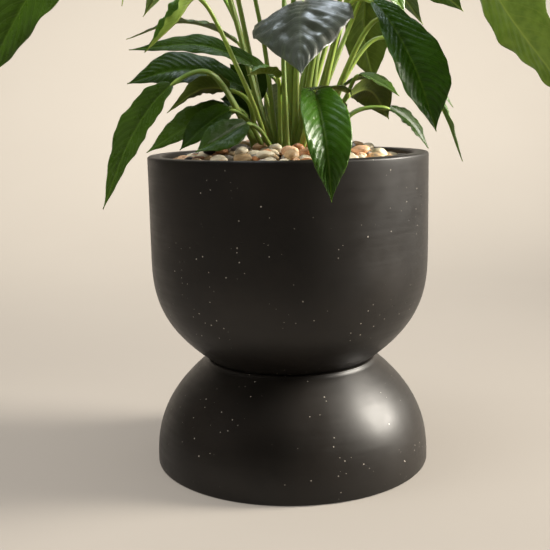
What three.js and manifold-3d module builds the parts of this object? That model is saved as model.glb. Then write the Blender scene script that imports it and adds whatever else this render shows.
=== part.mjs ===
// A peace lily growing in a two-part planter: a round bowl standing on a hollow dome.
// Millimetres, +Z up. The origin is the middle of the base's flat underside.
import * as THREE from "three";
import Module from "manifold-3d";
import { mergeVertices } from "three/addons/utils/BufferGeometryUtils.js";

// ---- Planter ---------------------------------------------------------------------------
const POT_HEIGHT = 382; // floor to the flat top of the rim
const BOWL_RADIUS = 170; // outside, on the straight wall
const BOWL_WALL = 18;
const BOWL_FLOOR = 20;
const BOWL_FOOT_RADIUS = 104; // flat underside that stands on the base
const BOWL_CURVE_TOP = 262; // height where the straight wall begins to curve in
const BOWL_CURVE_POWER = 2.7;
const RIM_ROUND = 3;
const BASE_RADIUS = 171; // outside, at the floor
const BASE_HEIGHT = 131;
const BASE_TOP_RADIUS = 106.5; // a narrow ledge shows round the bowl's foot
const BASE_WALL = 14;
const BASE_CURVE_POWER = 2.45;
const BASE_EDGE_ROUND = 2.5;
const SEAT_HOLE_RADIUS = 62; // opening under the bowl, where drained water drips through
const DRAIN_RADIUS = 9;
const PLUG_FLANGE_RADIUS = 15;
const PLUG_FLANGE_THICKNESS = 4;
const PLUG_TAIL = 5; // how far the plug sticks out under the bowl
const PLUG_CHAMFER = 1.5;
const GAP = 0.3; // clearance between pieces that touch

// ---- What fills the bowl -----------------------------------------------------------------
const SOIL_DROP = 36; // rim down to the top of the soil
const CROWN_RADIUS = 47; // the knot of roots and stalk bases in the middle
const CROWN_RISE = 4; // its top stands this far above the rim
const CROWN_DEPTH = 140; // rim down to the bottom of the root ball
const CROWN_CHAMFER = 2;
const ROOT_BALL_TAPER = 8;
const BED_RISE_INSIDE = 2; // gravel against the crown, above the rim
const BED_DROP_OUTSIDE = 13; // gravel against the wall, below the rim
const BED_FALL_POWER = 1.5; // the mound falls faster towards the wall
const BED_STATIONS = [0, 0.3, 0.55, 0.8, 1]; // shares of the way from crown to wall
const PEBBLE_SINK = 0.45; // share of a pebble's half thickness that sits above the gravel

// ---- Leaves ------------------------------------------------------------------------------
const STALK_RADIUS = 3.6; // at the crown
const STALK_END_RADIUS = 2.2; // where it meets the blade
const BLADE_THICKNESS = 1;
const TIP_HALF_WIDTH = 0.5;
const BASE_ROUNDNESS = 0.55; // lower powers give a rounder end to the blade
const TIP_SHARPENING = 0.75; // what the power gains on the way to the tip
const HEXAGON_HALF = Math.sqrt(3) / 2; // half the width across a six-sided stalk of radius one
const ROOT_MARGIN = 2; // outermost stalks stand this far inside the crown's edge

const ROUND_STEPS = 36;
const CROWN_STEPS = 28;
const PLUG_STEPS = 24;
const CURVE_STEPS = 7;
const STALK_STATIONS = [0, 0.5, 1, 1.5, 1.85];
const BLADE_STATIONS = [0.06, 0.17, 0.3, 0.44, 0.58, 0.72, 0.86, 1];

const wasm = await Module();
wasm.setup();

// ---- Materials -----------------------------------------------------------------------------
const material = (color, roughness, metalness = 0) =>
  new THREE.MeshStandardMaterial({ color, roughness, metalness });
const POT_BLACK = material(0x1d1916, 0.5);
const RUBBER = material(0x202020, 0.8);
const SOIL_BROWN = material(0x2b1d12, 0.95);
const CROWN_GREEN = material(0x5b6b2a, 0.8);
const GRAVEL = material(0x8a7458, 0.6);
const LEAF_GREEN = material(0x1f4a14, 0.35);
const PEBBLE_COLOURS = {
  cream: material(0xcdbf9c, 0.5),
  tan: material(0xb98d5c, 0.5),
  rust: material(0xa8572c, 0.5),
  peach: material(0xd9a077, 0.5),
  grey: material(0x9a958a, 0.5),
  black: material(0x26242a, 0.45),
};

const plant = new THREE.Group();

function addMesh(name, geometry, look) {
  const mesh = new THREE.Mesh(geometry, look);
  mesh.name = name;
  plant.add(mesh);
  return mesh;
}

// ---- Solids --------------------------------------------------------------------------------

// Joins shared corners, and turns the surface inside out if its faces point in.
function closedGeometry(source) {
  source.deleteAttribute("normal");
  source.deleteAttribute("uv");
  const geometry = mergeVertices(source, 1e-4);
  if (signedVolume(geometry) < 0) {
    geometry.index.array.reverse();
  }
  geometry.computeVertexNormals();
  return geometry;
}

function signedVolume(geometry) {
  const corner = [new THREE.Vector3(), new THREE.Vector3(), new THREE.Vector3()];
  const position = geometry.attributes.position;
  let volume = 0;
  for (let i = 0; i < geometry.index.count; i += 3) {
    corner.forEach((point, k) => point.fromBufferAttribute(position, geometry.index.getX(i + k)));
    volume += corner[0].dot(corner[1].cross(corner[2])) / 6;
  }
  return volume;
}

function toManifold(geometry) {
  return new wasm.Manifold(
    new wasm.Mesh({
      numProp: 3,
      vertProperties: new Float32Array(geometry.attributes.position.array),
      triVerts: new Uint32Array(geometry.index.array),
    }),
  );
}

function fromManifold(solid) {
  const mesh = solid.getMesh();
  const geometry = new THREE.BufferGeometry();
  geometry.setAttribute("position", new THREE.BufferAttribute(mesh.vertProperties, 3));
  geometry.setIndex(new THREE.BufferAttribute(mesh.triVerts, 1));
  geometry.computeVertexNormals();
  return geometry;
}

// Turns an outline of [radius, height] points about the Z axis.
function turned(outline, steps = ROUND_STEPS) {
  const points = outline.map(([radius, height]) => new THREE.Vector2(radius, height));
  const geometry = new THREE.LatheGeometry(points, steps);
  geometry.rotateX(Math.PI / 2);
  return closedGeometry(geometry);
}

// The planter's curve: square to the floor at the wide end and drawing in faster and faster.
function bulge(wide, narrow, power, steps = CURVE_STEPS) {
  const points = [];
  for (let i = 0; i <= steps; i += 1) {
    const t = i / steps;
    const radius = wide[0] - (wide[0] - narrow[0]) * t ** power;
    points.push([radius, wide[1] + (narrow[1] - wide[1]) * t]);
  }
  return points;
}

// A quarter round between two directions given in degrees.
function quarterRound(centre, radius, from, to, steps = 2) {
  const points = [];
  for (let i = 0; i <= steps; i += 1) {
    const angle = THREE.MathUtils.degToRad(from + ((to - from) * i) / steps);
    points.push([centre[0] + radius * Math.cos(angle), centre[1] + radius * Math.sin(angle)]);
  }
  return points;
}

// ---- Planter -------------------------------------------------------------------------------
const bowlUnderside = BASE_HEIGHT + GAP;
const bowlInside = BOWL_RADIUS - BOWL_WALL;
const bowlFloorTop = bowlUnderside + BOWL_FLOOR;
const bowlFloorRadius = BOWL_FOOT_RADIUS - BOWL_WALL / 2;

function bowl() {
  const outside = bulge([BOWL_RADIUS, BOWL_CURVE_TOP], [BOWL_FOOT_RADIUS, bowlUnderside], BOWL_CURVE_POWER);
  const inside = bulge([bowlInside, BOWL_CURVE_TOP], [bowlFloorRadius, bowlFloorTop], BOWL_CURVE_POWER);
  const rimCentre = POT_HEIGHT - RIM_ROUND;
  return turned([
    [DRAIN_RADIUS, bowlUnderside],
    ...outside.reverse(),
    ...quarterRound([BOWL_RADIUS - RIM_ROUND, rimCentre], RIM_ROUND, 0, 90),
    ...quarterRound([bowlInside + RIM_ROUND, rimCentre], RIM_ROUND, 90, 180),
    ...inside,
    [DRAIN_RADIUS, bowlFloorTop],
    [DRAIN_RADIUS, bowlUnderside],
  ]);
}

// A shell with a closed floor, open at the top where the bowl stands on it.
function base() {
  const topRound = BASE_HEIGHT - BASE_EDGE_ROUND;
  const outside = bulge([BASE_RADIUS, BASE_EDGE_ROUND], [BASE_TOP_RADIUS, topRound], BASE_CURVE_POWER);
  const inside = bulge(
    [BASE_RADIUS - BASE_WALL, BASE_WALL],
    [BASE_TOP_RADIUS - BASE_WALL, BASE_HEIGHT - BASE_WALL],
    BASE_CURVE_POWER,
  );
  return turned([
    [0, 0],
    [BASE_RADIUS - BASE_EDGE_ROUND, 0],
    ...outside,
    [BASE_TOP_RADIUS - BASE_EDGE_ROUND, BASE_HEIGHT],
    [SEAT_HOLE_RADIUS, BASE_HEIGHT],
    [SEAT_HOLE_RADIUS, BASE_HEIGHT - BASE_WALL],
    ...inside.reverse(),
    [0, BASE_WALL],
  ]);
}

// A rubber bung pushed down through the drain hole, its flange on the bowl's floor.
function drainPlug() {
  const flangeUnder = bowlFloorTop + GAP;
  const stem = DRAIN_RADIUS - GAP;
  return turned(
    [
      [0, bowlUnderside - PLUG_TAIL],
      [stem - PLUG_CHAMFER, bowlUnderside - PLUG_TAIL],
      [stem, bowlUnderside],
      [stem, flangeUnder],
      [PLUG_FLANGE_RADIUS, flangeUnder],
      [PLUG_FLANGE_RADIUS, flangeUnder + PLUG_FLANGE_THICKNESS],
      [0, flangeUnder + PLUG_FLANGE_THICKNESS],
    ],
    PLUG_STEPS,
  );
}

// ---- Soil, root ball and gravel --------------------------------------------------------------
const soilTop = POT_HEIGHT - SOIL_DROP;
const crownTop = POT_HEIGHT + CROWN_RISE;
const rootBallBottom = POT_HEIGHT - CROWN_DEPTH;

function soil() {
  const pocket = CROWN_RADIUS + GAP;
  const plugTop = bowlFloorTop + 2 * GAP + PLUG_FLANGE_THICKNESS;
  const side = bulge(
    [bowlInside - GAP, BOWL_CURVE_TOP],
    [bowlFloorRadius - GAP, bowlFloorTop + GAP],
    BOWL_CURVE_POWER,
  );
  return turned([
    [0, plugTop],
    [PLUG_FLANGE_RADIUS + GAP, plugTop],
    [PLUG_FLANGE_RADIUS + GAP, bowlFloorTop + GAP],
    ...side.reverse().map(([radius, height]) => [radius - GAP, height]),
    [bowlInside - 2 * GAP, soilTop],
    [pocket, soilTop],
    [pocket - ROOT_BALL_TAPER, rootBallBottom - GAP],
    [0, rootBallBottom - GAP],
  ]);
}

function rootCrown() {
  return turned(
    [
      [0, rootBallBottom],
      [CROWN_RADIUS - ROOT_BALL_TAPER, rootBallBottom],
      [CROWN_RADIUS, soilTop],
      [CROWN_RADIUS, crownTop - CROWN_CHAMFER],
      [CROWN_RADIUS - CROWN_CHAMFER, crownTop],
      [0, crownTop],
    ],
    CROWN_STEPS,
  );
}

// Height of the gravel's surface, which falls away from the crown in a shallow mound.
function gravelHeight(radius) {
  const share = (radius - CROWN_RADIUS) / (bowlInside - CROWN_RADIUS);
  const fall = BED_RISE_INSIDE + BED_DROP_OUTSIDE;
  return POT_HEIGHT + BED_RISE_INSIDE - fall * share ** BED_FALL_POWER;
}

function gravelBed(pebbles) {
  const inner = CROWN_RADIUS + GAP;
  const outer = bowlInside - GAP;
  const surface = BED_STATIONS.map((share) => {
    const radius = inner + (outer - inner) * share;
    return [radius, gravelHeight(radius)];
  });
  const bottom = soilTop + GAP;
  const profile = [[inner, bottom], [outer, bottom], ...surface.reverse(), [inner, bottom]];
  const bed = toManifold(turned(profile));
  return fromManifold(pebbles.reduce((left, pebble) => left.subtract(pebble), bed));
}

// Loose pebbles on top of the gravel: name, colour, direction from the axis in degrees, share of
// the way from crown to wall, half sizes along, across and up, and turn in degrees.
const PEBBLES = [
  ["pebble_01", "tan", 243, 0.6, [11, 9, 7], 20],
  ["pebble_02", "cream", 228, 0.66, [13, 9, 6.5], 65],
  ["pebble_03", "rust", 252, 0.32, [10, 8, 6.5], 110],
  ["pebble_04", "peach", 272, 0.24, [11, 9, 8], 0],
  ["pebble_05", "grey", 258, 0.78, [9, 7.5, 6], 150],
  ["pebble_06", "cream", 306, 0.66, [12, 9, 7], 35],
  ["pebble_07", "peach", 319, 0.3, [12, 9.5, 8], 75],
  ["pebble_08", "black", 338, 0.3, [12.5, 8, 6], 10],
  ["pebble_09", "cream", 346, 0.62, [12, 10, 7.5], 95],
  ["pebble_10", "tan", 327, 0.72, [10, 8, 6], 130],
  ["pebble_11", "grey", 8, 0.5, [12, 9, 6.5], 40],
  ["pebble_12", "cream", 45, 0.55, [11, 9, 7], 80],
  ["pebble_13", "rust", 100, 0.5, [12, 9, 7], 15],
  ["pebble_14", "cream", 165, 0.55, [11.5, 9, 6.5], 55],
];

// The same stone twice: as it is, and grown by the clearance to press its bed into the gravel.
function pebbleGeometry([, , azimuth, share, half, turn], growth) {
  const reach = CROWN_RADIUS + (bowlInside - CROWN_RADIUS) * share;
  const heading = THREE.MathUtils.degToRad(azimuth);
  const geometry = new THREE.IcosahedronGeometry(1, 1);
  geometry.scale(half[0] + growth, half[1] + growth, half[2] + growth);
  geometry.rotateZ(THREE.MathUtils.degToRad(turn));
  const height = gravelHeight(reach) + half[2] * PEBBLE_SINK;
  geometry.translate(reach * Math.cos(heading), reach * Math.sin(heading), height);
  return closedGeometry(geometry);
}

// ---- Leaves --------------------------------------------------------------------------------

// A point that hangs outside the bowl: direction, distance from its wall, height above the rim.
function outside(azimuth, distance, height) {
  const heading = THREE.MathUtils.degToRad(azimuth);
  const reach = BOWL_RADIUS + distance;
  return [reach * Math.cos(heading), reach * Math.sin(heading), height];
}

// Each leaf is one stalk and blade. In order: name; root, as a direction in degrees and a share of
// the crown's radius; a point on the stalk; the blade's base, middle and tip, measured across from
// the pot's axis and up from its rim; the blade's width and the share of its length where it is
// widest; its roll about its own length, the twist from base to tip and the fold of its two halves,
// in degrees.
const LEAVES = [
  ["leaf_front_hanging", [292, 1], [30, -90, 60], [30, -125, 70],
    outside(-78, 17, 20), outside(-77, 25, -42), 58, 0.42, 0, 0, 30],
  ["leaf_front_crinkled", [330, 0.25], [15, -5, 150], [20, -48, 172],
    [15, -112, 150], [15, -165, 87], 116, 0.4, 10, 0, -14],
  ["leaf_front_small", [325, 1], [60, -40, 50], [70, -50, 70],
    [40, -70, 75], [15, -85, 70], 26, 0.4, 0, 0, 10],
  ["leaf_front_curled", [250, 0.6], [-8, -30, 55], [-10, -50, 89],
    [-23, -78, 94], [-43, -98, 90], 30, 0.5, -45, 80, 20],
  ["leaf_left_hanging", [215, 1], [-88, -80, 95], [-126, -95, 82],
    outside(209, 24, 32), outside(204, 60, -55), 50, 0.45, -50, 0, 12],
  ["leaf_left_twisted", [225, 0.7], [-50, -85, 90], [-96, -95, 174],
    [-119, -105, 148], [-153, -110, 116], 30, 0.4, -20, 0, 55],
  ["leaf_left_low", [198, 1], [-52, -28, 50], [-67, -36, 55],
    [-110, -50, 38], [-163, -60, 6], 52, 0.45, -35, 0, 8],
  ["leaf_left_lower", [230, 1], [-45, -54, 40], [-64, -66, 52],
    [-92, -80, 36], [-120, -100, 10], 40, 0.45, -35, 0, 8],
  ["leaf_left_lowest", [246, 1], [-32, -62, 30], [-45, -78, 37],
    [-70, -108, 24], [-99, -135, 9], 38, 0.5, -42, 0, 12],
  ["leaf_left_olive", [186, 0.95], [-45, -28, 62], [-67, -35, 76],
    [-98, -45, 78], [-138, -55, 51], 44, 0.4, 30, 0, 10],
  ["leaf_left_arched", [172, 0.7], [-30, 0, 55], [-45, -5, 75],
    [-120, -20, 100], [-185, -40, 85], 58, 0.5, -42, 0, 8],
  ["leaf_left_dark", [156, 1], [-38, 14, 18], [-39, 11, 36],
    [-58, 4, 58], [-79, -8, 66], 44, 0.5, -50, 0, 8],
  ["leaf_left_long", [235, 0.35], [0, -18, 60], [-14, -27, 88],
    [-92, -50, 125], [-178, -60, 122], 34, 0.45, -30, -20, 8],
  ["leaf_left_level", [115, 0.6], [-30, 40, 80], [-60, 45, 135],
    [-125, 40, 160], [-195, 30, 140], 34, 0.4, -5, 0, 10],
  ["leaf_right_glossy", [335, 0.75], [75, -40, 170], [97, -60, 169],
    [137, -105, 100], [161, -120, 26], 70, 0.56, 25, 0, 24],
  ["leaf_right_behind", [355, 0.7], [110, 0, 155], [135, -5, 130],
    [185, 0, 55], outside(3, 45, -15), 44, 0.5, 20, 0, 10],
  ["leaf_right_narrow", [30, 0.7], [110, 50, 135], [145, 60, 130],
    [180, 60, 90], [210, 55, 50], 40, 0.4, 20, 0, 10],
  ["leaf_right_backlit", [52, 0.7], [80, 80, 150], [102, 84, 195],
    [102, 96, 140], [114, 98, 85], 70, 0.5, 0, 0, 6],
  ["leaf_right_arched", [2, 1], [85, 20, 48], [126, 30, 50],
    [153, 38, 33], outside(13, 12, 0), 38, 0.5, 35, 0, 8],
  ["leaf_right_under", [34, 1], [60, 28, 45], [79, 35, 68],
    [105, 50, 73], [130, 65, 37], 50, 0.5, -45, 0, 6],
  ["leaf_right_striped", [17, 1], [60, 15, 60], [70, 12, 80],
    [100, -4, 88], [125, -10, 80], 26, 0.45, 10, 0, 10],
  ["leaf_right_small", [346, 1], [70, -20, 65], [85, -20, 90],
    [110, -30, 80], [130, -45, 65], 28, 0.4, 10, 0, 10],
  ["leaf_right_light", [50, 0.45], [80, 30, 215], [105, 20, 250],
    [118, 5, 205], [142, -5, 158], 48, 0.5, 20, 0, 8],
  ["leaf_right_top", [15, 0.5], [75, 20, 250], [125, 25, 250],
    [172, 40, 207], [219, 45, 166], 62, 0.5, -30, 0, 8],
  ["leaf_right_spreading", [340, 0.45], [120, -20, 270], [175, -60, 258],
    [245, -105, 142], [315, -125, 45], 92, 0.42, -50, 0, 12],
  ["leaf_left_spreading", [212, 0.5], [-110, -22, 275], [-195, -45, 280],
    [-272, -90, 190], [-340, -100, 75], 88, 0.4, -50, 0, 10],
  ["leaf_left_top", [160, 0.5], [-100, 20, 320], [-140, 30, 330],
    [-180, 35, 255], [-200, 38, 180], 56, 0.4, 0, 0, 8],
  ["leaf_inner_left", [135, 0.45], [-29, 20, 42], [-38, 24, 59],
    [-50, 27, 86], [-69, 30, 108], 54, 0.45, -80, 0, 10],
  ["leaf_tall_front", [268, 0.9], [-3, -40, 100], [-2, -15, 250],
    [-20, -80, 330], [-45, -150, 310], 78, 0.4, 0, 0, 8],
  ["leaf_tall_left", [190, 0.3], [-30, 5, 155], [-65, 15, 280],
    [-120, 25, 350], [-185, 30, 345], 80, 0.4, 0, 0, 8],
  ["leaf_tall_middle", [0, 0.03], [10, 5, 180], [20, 10, 300],
    [25, 25, 380], [40, 60, 420], 74, 0.4, 0, 0, 8],
  ["leaf_tall_right", [315, 0.4], [45, -20, 170], [75, -50, 275],
    [100, -110, 330], [125, -175, 310], 80, 0.4, 0, 0, 8],
  ["leaf_tall_spreading", [60, 0.3], [45, 24, 180], [90, 25, 320],
    [160, 30, 360], [230, 30, 320], 80, 0.4, 0, 0, 8],
  ["leaf_back_tall", [95, 0.35], [0, 45, 170], [-15, 90, 270],
    [-30, 155, 330], [-40, 225, 310], 80, 0.4, 0, 0, 8],
  ["leaf_back_right", [55, 0.95], [60, 108, 112], [95, 145, 200],
    [145, 185, 215], [195, 220, 165], 70, 0.4, 0, 0, 8],
  ["leaf_back_middle", [75, 0.6], [30, 60, 140], [45, 110, 225],
    [55, 175, 235], [60, 235, 185], 72, 0.4, 0, 0, 8],
  ["leaf_back_left", [135, 0.85], [-50, 60, 130], [-95, 100, 215],
    [-145, 145, 230], [-195, 180, 180], 70, 0.4, 0, 0, 8],
  ["leaf_back_drooping", [93, 1], [-2, 75, 75], [-2, 115, 85],
    outside(91, 15, 45), outside(90, 40, -30), 56, 0.4, 0, 0, 6],
  ["leaf_back_low_left", [115, 1], [-35, 70, 55], [-50, 95, 65],
    [-80, 130, 50], [-105, 160, 15], 46, 0.4, 0, 0, 8],
  ["leaf_back_low_right", [76, 1], [25, 75, 60], [38, 100, 70],
    [60, 135, 55], [80, 168, 18], 46, 0.4, 0, 0, 8],
];

// Half the blade's width at a share of its length: round at the base, drawn out to a fine tip.
function halfWidthAt(share, width, widest) {
  const bias = Math.log(0.5) / Math.log(widest);
  const swell = Math.sin(Math.PI * share ** bias) ** (BASE_ROUNDNESS + TIP_SHARPENING * share);
  return Math.max((width / 2) * swell, TIP_HALF_WIDTH);
}

// Six corners round the spine: left, middle and right on the upper face, then back underneath.
function sectionCorners(centre, side, normal, { half, edge, up, down }, fold) {
  const lift = Math.sin(fold) * half;
  const spread = Math.cos(fold) * half;
  const corner = (across, above) =>
    centre.clone().addScaledVector(side, across).addScaledVector(normal, above);
  return [
    corner(spread, lift + edge),
    corner(0, up),
    corner(-spread, lift + edge),
    corner(-spread, lift - edge),
    corner(0, -down),
    corner(spread, lift - edge),
  ];
}

function leafGeometry([, root, bend, bladeBase, bladeMiddle, bladeTip, width, widest, roll, twist, fold]) {
  const heading = THREE.MathUtils.degToRad(root[0]);
  const ring = root[1] * (CROWN_RADIUS - STALK_RADIUS - ROOT_MARGIN);
  const start = new THREE.Vector3(ring * Math.cos(heading), ring * Math.sin(heading), crownTop + GAP);
  const onRim = ([x, y, z]) => new THREE.Vector3(x, y, POT_HEIGHT + z);
  const [bendAt, baseAt, middleAt, tipAt] = [bend, bladeBase, bladeMiddle, bladeTip].map(onRim);
  const spine = new THREE.CatmullRomCurve3([start, bendAt, baseAt, middleAt, tipAt]);
  const flat = tipAt.clone().sub(baseAt).setZ(0).normalize();
  const level = new THREE.Vector3(-flat.y, flat.x, 0);

  function section(position, shape, foldAngle) {
    const upright = new THREE.Vector3(0, 0, 1);
    const tangent = position === 0 ? upright : spine.getTangent(position / 4).normalize();
    const side = level.clone().addScaledVector(tangent, -level.dot(tangent)).normalize();
    const turn = roll + twist * Math.max(position / 2 - 1, 0);
    side.applyAxisAngle(tangent, THREE.MathUtils.degToRad(turn));
    const normal = new THREE.Vector3().crossVectors(tangent, side);
    return sectionCorners(spine.getPoint(position / 4), side, normal, shape, foldAngle);
  }

  const stalk = STALK_STATIONS.map((position) => {
    const radius = THREE.MathUtils.lerp(STALK_RADIUS, STALK_END_RADIUS, position / 2);
    const shape = { half: radius * HEXAGON_HALF, edge: radius / 2, up: radius, down: radius };
    return section(position, shape, 0);
  });
  const blade = BLADE_STATIONS.map((share) => {
    const rib = THREE.MathUtils.lerp(STALK_END_RADIUS, BLADE_THICKNESS / 2, share);
    const edge = BLADE_THICKNESS / 2;
    const shape = { half: halfWidthAt(share, width, widest), edge, up: edge, down: rib };
    return section(2 + 2 * share, shape, THREE.MathUtils.degToRad(fold));
  });
  return loft([...stalk, ...blade]);
}

// Skins a row of equal loops and closes both ends.
function loft(loops) {
  const count = loops[0].length;
  const index = [];
  for (let i = 0; i + 1 < loops.length; i += 1) {
    for (let k = 0; k < count; k += 1) {
      const a = i * count + k;
      const b = i * count + ((k + 1) % count);
      index.push(a, b, a + count, b, b + count, a + count);
    }
  }
  const last = (loops.length - 1) * count;
  for (let k = 1; k + 1 < count; k += 1) {
    index.push(0, k + 1, k, last, last + k, last + k + 1);
  }
  const geometry = new THREE.BufferGeometry().setFromPoints(loops.flat());
  geometry.setIndex(index);
  return closedGeometry(geometry);
}

// ---- Assembly ------------------------------------------------------------------------------
addMesh("pot_bowl", bowl(), POT_BLACK);
addMesh("pot_base", base(), POT_BLACK);
addMesh("drain_plug", drainPlug(), RUBBER);
addMesh("potting_soil", soil(), SOIL_BROWN);
addMesh("root_crown", rootCrown(), CROWN_GREEN);
addMesh("pebble_bed", gravelBed(PEBBLES.map((row) => toManifold(pebbleGeometry(row, GAP)))), GRAVEL);
PEBBLES.forEach((row) => addMesh(row[0], pebbleGeometry(row, 0), PEBBLE_COLOURS[row[1]]));
LEAVES.forEach((row) => addMesh(row[0], leafGeometry(row), LEAF_GREEN));

export default plant;
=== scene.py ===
"""Visual model of a potted peace lily in a two-part black planter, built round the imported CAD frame.

Metres, +Z up, origin in the middle of the planter's flat underside, as in the frame.
"""
import math
import random

import bpy
import numpy as np
from mathutils import Matrix, Vector, noise


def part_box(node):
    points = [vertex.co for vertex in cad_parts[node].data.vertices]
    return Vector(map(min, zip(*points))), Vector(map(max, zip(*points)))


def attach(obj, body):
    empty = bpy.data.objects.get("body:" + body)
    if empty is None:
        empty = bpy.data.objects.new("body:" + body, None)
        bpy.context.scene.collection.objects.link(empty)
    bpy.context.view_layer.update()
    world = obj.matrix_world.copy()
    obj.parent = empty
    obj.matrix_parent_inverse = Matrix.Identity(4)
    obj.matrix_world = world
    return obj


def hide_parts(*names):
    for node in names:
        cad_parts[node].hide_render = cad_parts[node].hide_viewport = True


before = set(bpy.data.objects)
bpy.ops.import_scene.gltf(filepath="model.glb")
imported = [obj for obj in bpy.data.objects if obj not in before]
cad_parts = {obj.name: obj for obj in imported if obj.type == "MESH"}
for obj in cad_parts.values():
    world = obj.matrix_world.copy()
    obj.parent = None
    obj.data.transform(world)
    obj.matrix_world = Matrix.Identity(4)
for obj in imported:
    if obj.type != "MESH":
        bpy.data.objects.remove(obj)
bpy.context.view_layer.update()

# ---- Sizes taken from the frame ----
bowl_low, bowl_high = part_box("pot_bowl")
base_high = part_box("pot_base")[1]
crown_low, crown_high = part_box("root_crown")
bed_low, bed_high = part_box("pebble_bed")
RIM = bowl_high.z
BOWL_RADIUS = bowl_high.x
BOWL_UNDERSIDE = bowl_low.z
BASE_RADIUS = base_high.x
BASE_HEIGHT = base_high.z
BED_RADIUS = bed_high.x
BED_BOTTOM = bed_low.z
CROWN_TOP = crown_high.z
CROWN_BOTTOM = crown_low.z
CROWN_RADIUS = crown_high.x

# ---- Sizes that the frame's boxes don't give ----
BOWL_WALL = .018
BOWL_FLOOR = .020
BOWL_FOOT_RADIUS = .104
BOWL_CURVE_TOP = .262
BOWL_CURVE_POWER = 2.7
RIM_ROUND = .0032
BASE_TOP_RADIUS = .1065
BASE_WALL = .014
BASE_CURVE_POWER = 2.45
BASE_EDGE_ROUND = .0025
SEAT_HOLE_RADIUS = .062
DRAIN_RADIUS = .009
FOOT_CHAMFER = .0015
GAP = .0003
ROOT_BALL_TAPER = .008
ROOT_BALL_SHOULDER = .036
CROWN_EDGE_ROUND = .004
STALK_RADIUS = .0036
STALK_END_RADIUS = .0022
ROOT_MARGIN = .002
LEAF_THICKNESS = .0006
MM = .001

random.seed(41)


# ---- Node helpers ----
class Nodes:
    """A short way to write a material's node tree."""

    def __init__(self, name):
        self.material = bpy.data.materials.new(name)
        self.material.use_nodes = True
        self.tree = self.material.node_tree
        self.shader = self.tree.nodes["Principled BSDF"]
        self.output = self.tree.nodes["Material Output"]
        self.place = self.add("ShaderNodeTexCoord").outputs["Object"]

    def add(self, kind, **values):
        node = self.tree.nodes.new(kind)
        for key, value in values.items():
            setattr(node, key, value)
        return node

    def plug(self, socket, value):
        if isinstance(value, bpy.types.NodeSocket):
            self.tree.links.new(value, socket)
        else:
            socket.default_value = value

    def math(self, operation, first, second=0.0, third=0.0, clamp=False):
        node = self.add("ShaderNodeMath", operation=operation, use_clamp=clamp)
        for socket, value in zip(node.inputs, (first, second, third)):
            self.plug(socket, value)
        return node.outputs[0]

    def stretched(self, scale, source=None):
        node = self.add("ShaderNodeVectorMath", operation="MULTIPLY")
        self.plug(node.inputs[0], source or self.place)
        node.inputs[1].default_value = scale
        return node.outputs[0]

    def noise(self, scale, detail=3.0, rough=.5, source=None, distortion=0.0):
        node = self.add("ShaderNodeTexNoise")
        self.plug(node.inputs["Vector"], source or self.place)
        node.inputs["Scale"].default_value = scale
        node.inputs["Detail"].default_value = detail
        node.inputs["Roughness"].default_value = rough
        node.inputs["Distortion"].default_value = distortion
        return node.outputs["Fac"]

    def ramp(self, value, low, high, start=0.0, end=1.0, smooth=True):
        node = self.add("ShaderNodeMapRange")
        if smooth:
            node.interpolation_type = "SMOOTHSTEP"
        self.plug(node.inputs["Value"], value)
        for socket, limit in zip(("From Min", "From Max", "To Min", "To Max"), (low, high, start, end)):
            node.inputs[socket].default_value = limit
        return node.outputs["Result"]

    def mix(self, share, first, second):
        node = self.add("ShaderNodeMix", data_type="RGBA")
        self.plug(node.inputs[0], share)
        self.plug(node.inputs[6], self.colour(first))
        self.plug(node.inputs[7], self.colour(second))
        return node.outputs[2]

    def colour(self, value):
        return (*value, 1) if isinstance(value, tuple) and len(value) == 3 else value

    def cells(self, scale, source=None):
        """A cell pattern: the distance from a cell's middle, and two random numbers of the cell."""
        node = self.add("ShaderNodeTexVoronoi", feature="F1")
        self.plug(node.inputs["Vector"], source or self.place)
        node.inputs["Scale"].default_value = scale
        split = self.add("ShaderNodeSeparateColor")
        self.plug(split.inputs[0], node.outputs["Color"])
        return node.outputs["Distance"], split.outputs[0], split.outputs[1]

    def from_half(self, value):
        """How far a value's fraction is from a half: .5 at each whole number."""
        return self.math("ABSOLUTE", self.math("SUBTRACT", self.math("FRACT", value), .5))

    def attribute(self, name):
        return self.add("ShaderNodeAttribute", attribute_name=name).outputs["Fac"]

    def bump(self, height, strength, distance):
        node = self.add("ShaderNodeBump")
        self.plug(node.inputs["Height"], height)
        node.inputs["Strength"].default_value = strength
        node.inputs["Distance"].default_value = distance
        return node.outputs["Normal"]

    def finish(self, **sockets):
        """Sets the shader's sockets, with their spaces written as underscores."""
        for name, value in sockets.items():
            self.plug(self.shader.inputs[name.replace("_", " ")], self.colour(value))
        return self.material


# ---- Mesh helpers ----
def make_object(name, vertices, faces, materials):
    """A smooth-shaded mesh in the scene."""
    mesh = bpy.data.meshes.new(name)
    mesh.from_pydata([tuple(map(float, v)) for v in vertices], [], [tuple(map(int, f)) for f in faces])
    for material in materials:
        mesh.materials.append(material)
    mesh.polygons.foreach_set("use_smooth", np.ones(len(mesh.polygons), bool))
    made = bpy.data.objects.new(name, mesh)
    bpy.context.scene.collection.objects.link(made)
    return made


def make_piece(name, vertices, faces, materials, stands_for, material_index=None, values=None):
    """A mesh that stands for its CAD nodes and rides on the one body."""
    piece = make_object(name, vertices, faces, materials)
    mesh = piece.data
    if material_index is not None:
        mesh.polygons.foreach_set("material_index", np.asarray(material_index, np.int32))
    for key, numbers in (values or {}).items():
        layer = mesh.attributes.new(key, "FLOAT", "POINT")
        layer.data.foreach_set("value", np.asarray(numbers, np.float32))
    mesh.update()
    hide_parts(*stands_for)
    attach(piece, "root")
    return piece


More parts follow.
